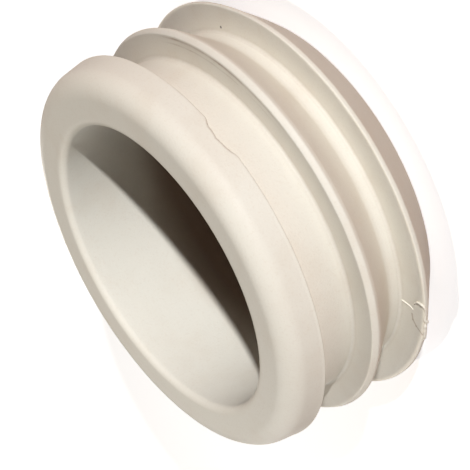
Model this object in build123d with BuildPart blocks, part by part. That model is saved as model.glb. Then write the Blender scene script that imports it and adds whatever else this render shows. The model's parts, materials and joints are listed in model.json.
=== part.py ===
"""Rubber flush cone: a one-piece moulded seal that grips a flush pipe in a toilet pan's inlet.

It stands on its tail end with the collar up. The bore runs along +Z, the origin is the
centre of the tail end, and all sizes are millimetres.
"""
from build123d import *
from math import radians, tan
import os

# Bore and wall
bore_d = 43.5             # grips the flush pipe
wall = 4.0                # bore to the plain neck and groove floor
tail_wall = 3.0           # rubber left round the bore at the tail end
mouth_round = 1.0         # lead-in where the pipe is pushed in

# Collar that stops against the rim of the inlet
collar_height = 5.6       # shoulder to nose
collar_reach = 3.8        # widest edge, out from the neck
collar_edge = 0.3         # upright land along the widest edge
collar_flank = 9.0        # lean of the flank in towards the nose, degrees
nose_round = 3.3          # soft bend from flank to nose

# Plain neck between the collar and the upper fin
neck_length = 7.6

# Sealing fins, barbed: steep on the collar side, sloping back on the tail side
fin_rake = 2.0            # lean of the steep front faces, degrees
upper_fin_reach = 4.1     # rim, out from the groove floor
upper_fin_land = 0.85     # width of the rim
upper_fin_fall = 0.45     # drop of the rim to its front corner
upper_fin_back = 5.45     # axial run of the sloping back, down to the groove floor
lower_fin_reach = 4.4     # rim, out from the groove floor
lower_fin_land = 0.7      # width of the rim
lower_fin_back = 5.5      # axial run of the sloping back, down to the tail end
groove_floor = 2.0        # flat between the upper fin's back and the lower fin
groove_fillet = 2.0       # easy bend at the foot of the upper fin's back

# Radii, from the bore outwards
bore_r = bore_d / 2
tail_r = bore_r + tail_wall
neck_r = bore_r + wall
collar_r = neck_r + collar_reach
upper_rim_r = neck_r + upper_fin_reach
upper_corner_r = upper_rim_r - upper_fin_fall
lower_rim_r = neck_r + lower_fin_reach

# Heights, from the tail end up
rake = tan(radians(fin_rake))
lower_rim_low = lower_fin_back
lower_rim_high = lower_rim_low + lower_fin_land
lower_root = lower_rim_high + lower_fin_reach * rake
groove_high = lower_root + groove_floor
upper_rim_low = groove_high + upper_fin_back
upper_rim_high = upper_rim_low + upper_fin_land
upper_root = upper_rim_high + (upper_fin_reach - upper_fin_fall) * rake
shoulder = upper_root + neck_length
collar_edge_high = shoulder + collar_edge
nose = shoulder + collar_height
nose_r = collar_r - (collar_height - collar_edge) * tan(radians(collar_flank))


def corner(sketch, radius, height):
    """The corner of the section at one radius and height."""
    return sketch.vertices().sort_by_distance((radius, height))[0]


# The whole moulding is one section turned about the bore axis
with BuildPart() as flush_cone:
    with BuildSketch(Plane.XZ) as section:
        with BuildLine():
            Polyline(
                (bore_r, 0),
                (tail_r, 0),
                (lower_rim_r, lower_rim_low),
                (lower_rim_r, lower_rim_high),
                (neck_r, lower_root),
                (neck_r, groove_high),
                (upper_rim_r, upper_rim_low),
                (upper_corner_r, upper_rim_high),
                (neck_r, upper_root),
                (neck_r, shoulder),
                (collar_r, shoulder),
                (collar_r, collar_edge_high),
                (nose_r, nose),
                (bore_r, nose),
                close=True,
            )
        make_face()
        fillet(corner(section, nose_r, nose), nose_round)
        fillet(corner(section, bore_r, nose), mouth_round)
        fillet(corner(section, neck_r, groove_high), groove_fillet)
    revolve(axis=Axis.Z)

flush_cone.part.label = "flush_cone"

os.makedirs("parts", exist_ok=True)
export_step(flush_cone.part, "parts/flush_cone.step")
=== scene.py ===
"""Looks of a rubber flush cone: one cream moulding standing on a white floor in studio light."""
import json
import math
from collections import namedtuple

import bpy
from mathutils import Matrix, Vector, noise


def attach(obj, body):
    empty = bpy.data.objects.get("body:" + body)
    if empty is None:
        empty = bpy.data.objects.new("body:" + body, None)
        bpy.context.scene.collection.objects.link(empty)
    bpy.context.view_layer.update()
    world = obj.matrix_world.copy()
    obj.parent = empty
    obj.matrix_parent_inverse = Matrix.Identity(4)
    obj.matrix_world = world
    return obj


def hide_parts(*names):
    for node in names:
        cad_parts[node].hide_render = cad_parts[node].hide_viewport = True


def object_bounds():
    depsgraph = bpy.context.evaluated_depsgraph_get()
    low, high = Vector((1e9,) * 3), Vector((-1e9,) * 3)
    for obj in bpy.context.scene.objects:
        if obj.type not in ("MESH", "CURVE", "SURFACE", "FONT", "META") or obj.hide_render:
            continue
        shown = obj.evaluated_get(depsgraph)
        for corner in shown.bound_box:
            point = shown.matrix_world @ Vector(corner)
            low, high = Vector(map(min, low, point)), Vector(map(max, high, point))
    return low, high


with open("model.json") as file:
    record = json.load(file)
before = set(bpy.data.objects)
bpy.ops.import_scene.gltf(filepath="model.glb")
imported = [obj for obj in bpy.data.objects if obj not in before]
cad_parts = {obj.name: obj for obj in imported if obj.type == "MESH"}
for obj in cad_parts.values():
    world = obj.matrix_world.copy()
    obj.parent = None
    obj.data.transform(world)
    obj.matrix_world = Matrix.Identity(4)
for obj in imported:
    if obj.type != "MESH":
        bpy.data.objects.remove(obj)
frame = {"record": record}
cad_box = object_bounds()
mm = 0.001

# Sizes of the section, in millimetres and degrees
mounts = {m["name"]: m for m in frame["record"]["mounts"]}
bore_r = mounts["pipe_bore"]["dims"]["r_mm"]
lower_rim_r = mounts["inlet_fin"]["dims"]["r_mm"]
nose = cad_box[1].z / mm
wall = 4.0                # bore to the neck and groove floor
tail_wall = 3.0           # bore to the outer edge of the tail end
collar_height = 5.6       # shoulder to nose
collar_reach = 3.8        # widest edge, out from the neck
flank_angle = 9.0         # lean of the collar's flank
flank_height = 5.3        # height that the lean is measured over
fin_rake = 2.0            # lean of the upper fin's steep front
upper_fin_reach = 4.1     # rim, out from the groove floor
upper_fin_land = 0.85     # width of the rim
upper_fin_fall = 0.45     # drop of the rim to its front corner
upper_fin_back = 5.45     # axial run of the sloping back
heel_in = 0.30            # steeper heel of that back, in from the rim
heel_drop = 0.6           # and down from it
groove_floor = 2.0        # flat between the upper fin's back and the lower fin
lower_rim_low = 5.4       # heights of the lower fin's rim
lower_rim_high = 6.02
lower_root = 6.354        # foot of the lower fin's front

# Radii and heights that follow from them
neck_r = bore_r + wall
tail_r = bore_r + tail_wall
collar_r = neck_r + collar_reach
nose_r = collar_r - flank_height * math.tan(math.radians(flank_angle))
upper_rim_r = neck_r + upper_fin_reach
upper_corner_r = upper_rim_r - upper_fin_fall
rake = math.tan(math.radians(fin_rake))
groove_high = lower_root + groove_floor
upper_rim_low = groove_high + upper_fin_back
upper_rim_high = upper_rim_low + upper_fin_land
upper_root = upper_rim_high + (upper_corner_r - neck_r) * rake
shoulder = nose - collar_height
flank_lean = (collar_r - nose_r) / collar_height

# Rounds of the section's corners
mouth_round = 1.0
nose_round = 3.3
collar_edge_round = 0.16
shoulder_round = 0.4
upper_root_round = 0.45
upper_front_round = 0.24
upper_back_round = 0.40
upper_heel_round = 0.35
groove_round = 2.0
lower_root_round = 0.4
lower_front_round = 0.22
lower_back_round = 0.50
tail_round = 0.5
bore_end_round = 0.25

# Torn edge of the collar: angle round the bore in degrees, and how deep the edge is bitten away
tear = ((13.0, 0.0), (13.9, 0.10), (14.9, 0.32), (16.2, 0.46), (18.1, 0.66), (20.3, 0.75),
        (22.6, 0.64), (24.5, 0.50), (25.6, 0.22), (26.6, 0.0))
fully_torn = 0.3          # depth of bite from which the edge is fully frayed and darkened
fine_fray = 0.07          # depth of the small notches along it
fine_notch = 0.6          # and about how long they are
coarse_fray = 0.09        # depth of the large notches
coarse_notch = 1.3        # and about how long they are
under_tear = 2.2          # how far the bite runs in under the collar, for each millimetre of depth
collar_lip = 0.07         # how far the untorn edge stands proud
under_edge = 0.6          # where the shoulder turns up to the torn edge, in from it
flank_start = 0.5         # where the plain flank starts, up from the edge

# Angles over which a mark on the ring comes in, and over which it goes out again
# the collar's edge carries a dark parting line with painted shade between these angles
dark_edge = ((0.0, 20.0), (45.0, 65.0))
mould_lines = ((6.0, 40.0), (56.0, 68.0))
lip_ends = (-15.0, 5.0)    # the lip only goes out

# Mould line close to the corner of the upper fin's front
rim_line_in = 0.32        # in from the corner
rim_line_depth = 0.05
rim_line_width = 0.22     # on its inner side
rim_line_plain = 0.8      # share of it that shows all along
rim_line_patchy = 0.7     # share that comes and goes
rim_line_patch = 2.0      # about how long the patches are
rim_line_stray = 0.05     # how far it strays to either side
rim_line_bend = 1.5       # about how long its bends are

# Fainter mould line further in on the same front
inner_line_in = 1.1
inner_line_depth = 0.03
inner_line_outside = 0.14    # width on its outer side
inner_line_inside = 0.20     # width on its inner side
inner_line_plain = 0.6
inner_line_patchy = 0.9
inner_line_patch = 2.5
inner_line_stray = 0.10
inner_line_bend = 2.5

# Painted shade held in the corners and mould lines, a dark parting line with painted shade along the
# collar's edge, and a darkening along the torn edge, from 0 to 1
root_shade = 0.12
shoulder_shade = 0.2
parting_line_and_shade = 0.08
tear_darkening = 0.30
rim_line_shade = 0.75
rim_line_side_shade = 0.10
inner_line_shade = 0.40

# How the soft moulding departs from a true ring
collar_shift = 0.30       # collar, out towards collar_shift_at
collar_shift_at = 100.0
collar_tilt = 0.010       # fall of the collar for each millimetre towards +X
fin_bulge = (0.12, -70.0, 24.0)    # lower fin: height, middle and width of the bulge
fin_dent = (0.45, 58.0, 20.0)      # lower fin: depth, middle and width of the dent
true_mouth = 2.5          # width round the bore's mouth that isn't shifted with the collar
ring_wave = 0.02          # in and out, all over
ring_wave_length = 6.0
rim_wave = 0.03           # up and down, along the collar and the fins
rim_wave_length = 5.0
rim_wave_out = 1.0        # how far out from the neck it starts
rim_wave_heights = (2.0, 4.0)      # heights over which it comes in

# Steps round the ring in degrees
plain_turn = 1.0
fine_turn = 0.25
fine_from = 12.0          # the tear and a little beyond
fine_to = 28.0

Corner = namedtuple("Corner", "r z bend steps run grime", defaults=(0.0, 0, 1, 0.0))


def between(pairs, x):
    """Reads a short list of pairs at x, straight between one pair and the next."""
    if x <= pairs[0][0]:
        return pairs[0][1]
    for (x0, y0), (x1, y1) in zip(pairs, pairs[1:]):
        if x <= x1:
            return y0 + (y1 - y0) * (x - x0) / (x1 - x0)
    return pairs[-1][1]


def ease(low, high, x):
    """Runs smoothly from 0 at low to 1 at high."""
    t = min(1.0, max(0.0, (x - low) / (high - low)))
    return t * t * (3.0 - 2.0 * t)


def along(angle, rise, fall):
    """Comes in over the first pair of angles and goes out over the second."""
    return ease(*rise, angle) * (1.0 - ease(*fall, angle))


def ripple(angle, length, seed):
    """A smooth random wave round the ring, from -1 to 1, with bumps about length millimetres long."""
    a = math.radians(angle)
    size = lower_rim_r / length
    seed_gap = 7.3
    return noise.noise(Vector((size * math.cos(a), size * math.sin(a), seed * seed_gap)))


def patchy(angle, plain, change, length, seed):
    """How much of a line shows at one angle, where it comes and goes along its way."""
    return max(0.0, plain + change * ripple(angle, length, seed))


def swell(angle, height, middle, width):
    """A low bump round the ring, highest at its middle."""
    off = (angle - middle + 180.0) % 360.0 - 180.0
    return height * math.exp(-(off / width) ** 2)


def bend_points(before, corner, after):
    """The points round one corner's bend, or the corner alone where it has none."""
    here = Vector((corner.r, corner.z))
    if not corner.bend:
        return [here]
    back = (Vector((before.r, before.z)) - here).normalized()
    ahead = (Vector((after.r, after.z)) - here).normalized()
    half = math.acos(max(-1.0, min(1.0, back.dot(ahead)))) / 2
    reach = corner.bend / math.tan(half)
    middle = here + (back + ahead).normalized() * (corner.bend / math.sin(half))
    first = here + back * reach - middle
    last = here + ahead * reach - middle
    turn = first.angle_signed(last)
    points = []
    for k in range(corner.steps + 1):
        spun = first.copy()
        spun.rotate(Matrix.Rotation(-turn * k / corner.steps, 2))
        points.append(middle + spun)
    return points


def rounded(corners):
    """A closed section with its corners rounded: a list of (radius, height, share of dark line and painted
    shade).

    A corner has a radius and a height, the radius of its bend, the steps round that bend, the
    steps along the run to the next corner, and how much dark line and painted shade it holds.
    """
    count = len(corners)
    bends = [bend_points(corners[i - 1], corners[i], corners[(i + 1) % count]) for i in range(count)]
    points = []
    for i, corner in enumerate(corners):
        points += [(p.x, p.y, corner.grime) for p in bends[i]]
        start = bends[i][-1]
        stop = bends[(i + 1) % count][0]
        for k in range(1, corner.run):
            p = start.lerp(stop, k / corner.run)
            points.append((p.x, p.y, 0.0))
    return points


def on_front(r, cut=0.0, run=1, grime=0.0):
    """A sharp corner on the upper fin's front, or cut into it."""
    return Corner(r, upper_rim_high + (upper_corner_r - r) * rake - cut, run=run, grime=grime)


def section(angle):
    """The moulding's section at one angle round the bore."""
    bite = between(tear, angle)
    torn = min(1.0, bite / fully_torn)
    fray = fine_fray * ripple(angle, fine_notch, seed=1)
    fray += coarse_fray * ripple(angle, coarse_notch, seed=8)
    bite += torn * fray
    edge = shoulder + bite
    edge_r = collar_r - bite * flank_lean
    lip = collar_lip * (1.0 - ease(*lip_ends, angle)) * (1.0 - torn)
    # a dark parting line with painted shade along the collar's edge, and a darkening along the torn edge
    edge_darkening = parting_line_and_shade * along(angle, *dark_edge) + tear_darkening * torn
    under_edge_r = edge_r - under_edge - under_tear * bite
    lines = along(angle, *mould_lines)
    rim_line = lines * patchy(angle, rim_line_plain, rim_line_patchy, rim_line_patch, seed=2)
    rim_line_r = upper_corner_r - rim_line_in
    rim_line_r += rim_line_stray * ripple(angle, rim_line_bend, seed=4)
    inner_line = lines * patchy(angle, inner_line_plain, inner_line_patchy, inner_line_patch, seed=3)
    inner_line_r = upper_corner_r - inner_line_in
    inner_line_r += inner_line_stray * ripple(angle, inner_line_bend, seed=7)
    # each corner's last share is the painted shade, dark parting line and torn-edge darkening held there
    return rounded((
        Corner(bore_r, 0.0, bore_end_round, steps=4, run=4),
        Corner(tail_r, 0.0, tail_round, steps=6, run=14),
        Corner(lower_rim_r, lower_rim_low, lower_back_round, steps=6, run=2),
        Corner(lower_rim_r, lower_rim_high, lower_front_round, steps=5, run=10),
        Corner(neck_r, lower_root, lower_root_round, steps=5, run=4, grime=root_shade),
        Corner(neck_r, groove_high, groove_round, steps=8, run=12),
        Corner(upper_rim_r - heel_in, upper_rim_low - heel_drop, upper_heel_round, steps=3, run=2),
        Corner(upper_rim_r, upper_rim_low, upper_back_round, steps=6, run=2),
        Corner(upper_corner_r, upper_rim_high, upper_front_round, steps=5),
        on_front(rim_line_r, cut=rim_line_depth * rim_line, grime=rim_line_shade * rim_line),
        on_front(rim_line_r - rim_line_width, run=2, grime=rim_line_side_shade * rim_line),
        on_front(inner_line_r + inner_line_outside),
        on_front(inner_line_r, cut=inner_line_depth * inner_line, grime=inner_line_shade * inner_line),
        on_front(inner_line_r - inner_line_inside, run=6),
        Corner(neck_r, upper_root, upper_root_round, steps=5, run=14, grime=root_shade),
        Corner(neck_r, shoulder, shoulder_round, steps=5, run=8, grime=shoulder_shade),
        Corner(under_edge_r, shoulder, run=6),
        Corner(edge_r + lip, edge, collar_edge_round, steps=6, run=2, grime=edge_darkening),
        Corner(edge_r - flank_start * flank_lean, edge + flank_start, run=14),
        Corner(nose_r, nose, nose_round, steps=22, run=8),
        Corner(bore_r, nose, mouth_round, steps=8, run=14),
    ))


def out_of_round(angle, r, z):
    """The moulding is soft: its collar sits a little askew and its lower fin is a little oval."""
    x = r * math.sin(math.radians(angle))
    collar = ease(shoulder - shoulder_round, shoulder, z) * ease(bore_r + true_mouth, nose_r, r)
    fin = ease(neck_r, lower_rim_r, r) * (1.0 - ease(lower_root, groove_high + groove_round, z))
    r += ring_wave * ripple(angle, ring_wave_length, seed=5)
    r += collar * collar_shift * math.cos(math.radians(angle - collar_shift_at))
    r += fin * (swell(angle, *fin_bulge) - swell(angle, *fin_dent))
    z -= collar_tilt * x * ease(upper_root, shoulder, z)
    rims = ease(neck_r + rim_wave_out, upper_rim_r, r) * ease(*rim_wave_heights, z)
    z += rims * rim_wave * ripple(angle, rim_wave_length, seed=6)
    return r, z


def angles():
    """Angles round the ring in degrees, closer together along the tear."""
    found = []
    angle = -180.0
    while angle < 180.0:
        found.append(angle)
        angle += fine_turn if fine_from <= angle < fine_to else plain_turn
    return found


def on_ring(angle, r, z):
    """A point in metres, from its angle in degrees and its radius and height in millimetres."""
    a = math.radians(angle)
    return (r * math.sin(a) * mm, -r * math.cos(a) * mm, z * mm)


def lathe():
    """The whole moulding as one mesh, with how much dark line and painted shade each point holds."""
    turns = angles()
    verts = []
    grime = []
    for angle in turns:
        for r, z, share in section(angle):
            verts.append(on_ring(angle, *out_of_round(angle, r, z)))
            grime.append(share)
    count = len(verts) // len(turns)
    faces = []
    for i in range(len(turns)):
        j = (i + 1) % len(turns)
        for k in range(count):
            n = (k + 1) % count
            faces.append((i * count + k, j * count + k, j * count + n, i * count + n))
    mesh = bpy.data.meshes.new("moulding")
    mesh.from_pydata(verts, [], faces)
    mesh.update()
    mesh.attributes.new("grime", "FLOAT", "POINT").data.foreach_set("value", grime)
    for polygon in mesh.polygons:
        polygon.use_smooth = True
    return mesh


def thread(name, path):
    """A torn thread of mould flash, through points given as angle, radius, height and half thickness."""
    curve = bpy.data.curves.new(name, "CURVE")
    curve.dimensions = "3D"
    curve.bevel_depth = mm
    curve.bevel_resolution = 3
    curve.resolution_u = 8
    curve.use_fill_caps = True
    line = curve.splines.new("BEZIER")
    line.bezier_points.add(len(path) - 1)
    for spot, (angle, r, z, half) in zip(line.bezier_points, path):
        spot.co = on_ring(angle, r, z)
        spot.radius = half
        spot.handle_left_type = "AUTO"
        spot.handle_right_type = "AUTO"
    return bpy.data.objects.new(name, curve)


class Tone:
    """One shader socket, so that shader sums read like plain sums."""

    def __init__(self, tree, socket=None):
        self.tree = tree
        self.socket = socket

    def node(self, kind, settings=None, inputs=None, out=0):
        """Adds a node, makes its settings, feeds its sockets and gives one of its outputs."""
        made = self.tree.nodes.new(kind)
        for name, value in (settings or {}).items():
            setattr(made, name, value)
        for name, value in (inputs or {}).items():
            if isinstance(value, Tone):
                self.tree.links.new(value.socket, made.inputs[name])
            else:
                made.inputs[name].default_value = value
        return Tone(self.tree, made.outputs[out])

    def sum(self, kind, a, b):
        return self.node("ShaderNodeMath", {"operation": kind}, {0: a, 1: b})

    def __add__(self, other):
        return self.sum("ADD", self, other)

    __radd__ = __add__

    def __sub__(self, other):
        return self.sum("SUBTRACT", self, other)

    def __rsub__(self, other):
        return self.sum("SUBTRACT", other, self)

    def __mul__(self, other):
        return self.sum("MULTIPLY", self, other)

    __rmul__ = __mul__

    def vector(self, kind, inputs, out=0):
        """A step of Vector Math."""
        return self.node("ShaderNodeVectorMath", {"operation": kind}, inputs, out)

    def off_line(self, start, stop):
        """How far this place is from a straight line between two points."""
        run = Vector(stop) - Vector(start)
        ahead = self.vector("SUBTRACT", {0: self, 1: start})
        ahead = self.vector("DOT_PRODUCT", {0: ahead, 1: run}, "Value")
        clamped = {"operation": "DIVIDE", "use_clamp": True}
        share = self.node("ShaderNodeMath", clamped, {0: ahead, 1: run.length_squared})
        foot = self.vector("SCALE", {0: run, "Scale": share})
        foot = self.vector("ADD", {0: foot, 1: start})
        return self.vector("DISTANCE", {0: self, 1: foot}, "Value")

    def ramp(self, low, high):
        """Runs smoothly from 0 where this is low to 1 where it is high."""
        return self.node(
            "ShaderNodeMapRange",
            {"interpolation_type": "SMOOTHSTEP"},
            {"Value": self, "From Min": low, "From Max": high, "To Min": 0.0, "To Max": 1.0},
        )

    def blend(self, low, high):
        """A colour that goes from low to high as this goes from 0 to 1."""
        low, high = (c if isinstance(c, Tone) else (*c, 1.0) for c in (low, high))
        return self.node("ShaderNodeMix", {"data_type": "RGBA"}, {0: self, 6: low, 7: high}, out=2)


def linear(*levels):
    """A colour as picked on a screen, from 0 to 255, as light."""
    return tuple(((v / 255 + 0.055) / 1.055) ** 2.4 if v > 10 else v / 255 / 12.92 for v in levels)


# Colours of the rubber
cream = linear(231, 226, 213)
tan = linear(196, 170, 140)
# painted shade for the corners, mould lines and the looped thread's shadow, and the dark parting line and
# torn edge
painted_shade_colour = linear(150, 122, 96)
dark_speck = linear(92, 82, 78)
# painted shade deep in the bore, where the bore lies in shadow
bore_shade_brown = linear(118, 68, 22)

# How far each colour is taken up, from 0 to 1
cloud_tan = 0.11
grain_tan = 0.10
# painted shade: tan on the surfaces that face down
back_shade = 0.12
# painted shade deep in the bore
bore_shade_share = 0.66
thread_shadow_share = 0.5

# Levels of the clouds and of the grain over which their tan comes in, and of facing down over which the
# painted shade of the backs comes in
cloud_levels = (0.45, 0.75)
grain_levels = (0.50, 0.75)
back_shade_levels = (0.30, 0.75)

# Share of the dark lines and painted shade that is even, and share that follows the grain
even_shade = 0.6
grainy_shade = 0.6

# Where the looks of the bore go out, in millimetres
bore_wall_edge = (bore_r + 0.2, bore_r + 0.6)
bore_lip_edge = (bore_r + 0.9, bore_r + 1.4)
# heights over which the painted shade deep in the bore fades out
bore_shade_heights = (10.0, 16.0)

# Roughness of the outside, and what the clouds and the bore add to it
plain_rough = 0.50
cloud_rough = 0.10
bore_rough = 0.38

# A dark speck and the looped thread's painted shadow on the lower fin's front, in millimetres
speck = (23.65, -12.10, 6.29)
speck_edge = (0.24, 0.36)    # fades out over these distances from its middle
speck_ragged = 0.2           # how far the grain eats into it
# painted shadow of the looped thread: a dark line along these points
thread_shadow_edge = (0.05, 0.20)
thread_shadow = (
    (-22.86, -16.10, 6.19),
    (-23.67, -15.40, 6.17),
    (-24.66, -15.12, 6.11),
    (-26.14, -15.14, 6.02),
)

# Colours of the floor: as the camera sees it, and as it throws light back at the moulding
paper_white = (0.95, 0.95, 0.95, 1.0)
paper_glow = 0.44
glow_white = (1.0, 1.0, 1.0, 1.0)
ground_in_bore = (0.05, 0.012, 0.002)
ground_outside = (0.24, 0.085, 0.010)
ground_change = (20.0 * mm, 24.0 * mm)    # radii over which the one goes over to the other


def cream_rubber():
    """Matte cream rubber, faintly mottled, with a fine moulded grain, and painted shade on its down-facing
    backs and in its corners and mould lines.

    Its bore is more matte than the outside, and painted shade makes it brown deep down. A painted shadow
    line lies on the lower fin's front, and the parting line and torn edge are darkened.
    """
    material = bpy.data.materials.new("cream_rubber")
    material.use_nodes = True
    tree = material.node_tree
    shader = tree.nodes["Principled BSDF"]
    start = Tone(tree)

    # Where a point is, in millimetres, and which way it faces
    place = start.node("ShaderNodeTexCoord", out="Object")
    place = start.vector("SCALE", {0: place, "Scale": 1.0 / mm})
    height = start.node("ShaderNodeSeparateXYZ", inputs={0: place}, out="Z")
    flat = start.vector("MULTIPLY", {0: place, 1: (1.0, 1.0, 0.0)})
    radius = start.vector("LENGTH", {0: flat}, "Value")
    facing = start.node("ShaderNodeNewGeometry", out="Normal")
    facing_up = start.node("ShaderNodeSeparateXYZ", inputs={0: facing}, out="Z")

    # Patterns and marks
    cloud = start.node("ShaderNodeTexNoise", inputs={"Vector": place, "Scale": 0.16, "Detail": 4.0})
    grain = start.node("ShaderNodeTexNoise", inputs={"Vector": place, "Scale": 3.2, "Detail": 3.0})
    grime = start.node("ShaderNodeAttribute", {"attribute_name": "grime"}, out="Fac")
    off_speck = start.vector("DISTANCE", {0: place, 1: speck}, "Value")
    bore_wall = 1.0 - radius.ramp(*bore_wall_edge)
    bore_and_lip = 1.0 - radius.ramp(*bore_lip_edge)
    # where the bore's painted shade lies
    deep_bore_shade = bore_wall * (1.0 - height.ramp(*bore_shade_heights))

    # Colour, from the broadest change to the smallest mark
    base = (cloud_tan * cloud.ramp(*cloud_levels)).blend(cream, tan)
    base = (grain_tan * grain.ramp(*grain_levels)).blend(base, tan)
    # painted shade: tan on the surfaces that face down
    base = (back_shade * (0.0 - facing_up).ramp(*back_shade_levels)).blend(base, tan)
    # painted shade: brown deep in the bore
    base = (bore_shade_share * deep_bore_shade).blend(base, bore_shade_brown)
    # painted shade in the corners and mould lines, with a dark parting line and a darkening along the torn
    # edge
    base = (grime * (even_shade + grainy_shade * grain)).blend(base, painted_shade_colour)
    base = (1.0 - (off_speck + speck_ragged * grain).ramp(*speck_edge)).blend(base, dark_speck)
    # painted shadow of the looped thread, a dark line on the lower fin's front
    for shadow_from, shadow_to in zip(thread_shadow, thread_shadow[1:]):
        off_shadow = place.off_line(shadow_from, shadow_to)
        base = (thread_shadow_share * (1.0 - off_shadow.ramp(*thread_shadow_edge))).blend(base, painted_shade_colour)
    tree.links.new(base.socket, shader.inputs["Base Color"])

    # Sheen and grain
    rough = plain_rough + cloud_rough * cloud + bore_rough * bore_and_lip
    tree.links.new(rough.socket, shader.inputs["Roughness"])
    relief = {"Height": grain, "Strength": 0.16, "Distance": 0.2 * mm}
    bump = start.node("ShaderNodeBump", inputs=relief, out="Normal")
    tree.links.new(bump.socket, shader.inputs["Normal"])
    shader.inputs["IOR"].default_value = 1.42
    return material


def white_floor():
    """White to the camera and in gloss, with the moulding's shadow, and dim and warm to all other light."""
    material = bpy.data.materials.new("white_floor")
    material.use_nodes = True
    tree = material.node_tree
    tree.nodes.remove(tree.nodes["Principled BSDF"])
    start = Tone(tree)
    seen = start.node("ShaderNodeLightPath", out="Is Camera Ray")
    for ray in ("Is Glossy Ray", "Is Transmission Ray"):
        seen = start.sum("MAXIMUM", seen, start.node("ShaderNodeLightPath", out=ray))
    paper = start.node("ShaderNodeBsdfDiffuse", inputs={"Color": paper_white})
    glow = start.node("ShaderNodeEmission", inputs={"Color": glow_white, "Strength": paper_glow})
    lit = start.node("ShaderNodeAddShader", inputs={0: paper, 1: glow})
    place = start.node("ShaderNodeNewGeometry", out="Position")
    out_from_bore = start.vector("LENGTH", {0: place}, "Value")
    ground = out_from_bore.ramp(*ground_change).blend(ground_in_bore, ground_outside)
    warm = start.node("ShaderNodeBsdfDiffuse", inputs={"Color": ground})
    both = start.node("ShaderNodeMixShader", inputs={0: seen, 1: warm, 2: lit})
    tree.links.new(both.socket, tree.nodes["Material Output"].inputs["Surface"])
    return material


def floor():
    """A wide plain floor, a hair below the tail end so that the two faces don't lie in one plane."""
    mesh = bpy.data.meshes.new("floor")
    half = 3.0
    top = -0.02 * mm
    corners = [(-half, -half, top), (half, -half, top), (half, half, top), (-half, half, top)]
    mesh.from_pydata(corners, [], [(0, 1, 2, 3)])
    mesh.materials.append(white_floor())
    piece = bpy.data.objects.new("floor", mesh)
    bpy.context.scene.collection.objects.link(piece)


def lamp(name, kind, towards, strength, size, colour=(1.0, 1.0, 1.0), distance=0.25):
    """A lamp in the direction named, looking back at the moulding."""
    data = bpy.data.lights.new(name, kind)
    data.energy = strength
    data.color = colour
    if kind == "SUN":
        data.angle = size
    else:
        data.shape = "DISK"
        data.size = size
    piece = bpy.data.objects.new(name, data)
    way = Vector(towards).normalized()
    piece.location = way * distance + Vector((0, 0, nose * mm / 2))
    piece.rotation_mode = "QUATERNION"
    piece.rotation_quaternion = way.to_track_quat("Z", "Y")
    bpy.context.scene.collection.objects.link(piece)


def lights():
    """A small bright lamp in front, another overhead, white cards round the moulding and a warm one."""
    lamp("front_lamp", "SUN", towards=(0.247, -0.921, 0.301), strength=3.14, size=math.radians(1.6),
         colour=(0.985, 1.0, 1.03))
    lamp("overhead_lamp", "SUN", towards=(0.0, 0.0, 1.0), strength=0.86, size=math.radians(3.0),
         colour=(1.0, 0.90, 0.80))
    lamp("white_card", "AREA", towards=(-0.88, -0.42, 0.18), strength=0.10, size=0.14)
    lamp("near_card", "AREA", towards=(-0.45, 0.70, 0.55), strength=0.015, size=0.06, distance=0.11)
    lamp("back_card", "AREA", towards=(-0.75, 0.66, 0.10), strength=0.13, size=0.15, distance=0.20)
    lamp("warm_card", "AREA", towards=(0.97, -0.10, 0.15), strength=0.03, size=0.12,
         colour=(1.0, 0.35, 0.08))
    lamp("low_card", "AREA", towards=(0.15, 0.99, 0.0), strength=0.16, size=nose * mm,
         colour=(1.0, 0.97, 0.93))
    world = bpy.data.worlds.new("faint_sky")
    world.use_nodes = True
    sky = world.node_tree.nodes["Background"]
    sky.inputs["Color"].default_value = (1.0, 0.97, 0.92, 1.0)
    sky.inputs["Strength"].default_value = 0.01
    bpy.context.scene.world = world


def camera():
    """Seen from the photo's side, turned so that the collar comes towards the lower left."""
    data = bpy.data.cameras.new("camera")
    data.sensor_width = 36.0
    data.lens = 168.51
    data.clip_start = 0.01
    data.clip_end = 10.0
    right = Vector((-0.52011, -0.36007, -0.77449))
    up = Vector((0.85410, -0.21927, -0.47163))
    back = right.cross(up)
    place = Vector((-0.00149, -0.2778, 0.1442))
    turn = Matrix((right, up, back)).transposed().to_4x4()
    piece = bpy.data.objects.new("camera", data)
    piece.matrix_world = Matrix.Translation(place) @ turn
    bpy.context.scene.collection.objects.link(piece)
    bpy.context.scene.camera = piece


rubber = cream_rubber()
moulding = bpy.data.objects.new("moulding", lathe())
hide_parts("flush_cone")
short_thread = thread("short_thread", (
    (-52.1, 26.07, 6.40, 0.10),
    (-52.1, 26.59, 6.36, 0.10),
    (-52.2, 27.22, 6.30, 0.09),
    (-52.5, 27.76, 6.25, 0.08),
    (-53.0, 28.15, 6.18, 0.05),
))
looped_thread = thread("looped_thread", (
    (-51.2, 28.19, 6.18, 0.05),
    (-49.9, 28.46, 6.22, 0.10),
    (-48.8, 28.95, 6.22, 0.14),
    (-48.6, 29.60, 6.18, 0.16),
    (-49.0, 30.10, 6.10, 0.15),
    (-50.2, 30.32, 6.00, 0.10),
    (-51.9, 30.34, 5.96, 0.10),
    (-53.8, 30.36, 5.98, 0.24),
    (-54.3, 30.48, 5.74, 0.23),
    (-55.2, 30.34, 5.88, 0.15),
    (-56.0, 30.38, 5.92, 0.27),
    (-57.0, 30.40, 5.86, 0.21),
    (-58.0, 30.40, 5.86, 0.27),
    (-59.2, 30.42, 5.80, 0.22),
    (-60.4, 30.40, 5.76, 0.26),
    (-61.6, 30.36, 5.70, 0.17),
    (-62.6, 30.26, 5.80, 0.08),
))
for piece in (moulding, short_thread, looped_thread):
    piece.data.materials.append(rubber)
    bpy.context.scene.collection.objects.link(piece)
    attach(piece, "root")

floor()
lights()
camera()
bpy.context.scene.view_settings.view_transform = "Standard"
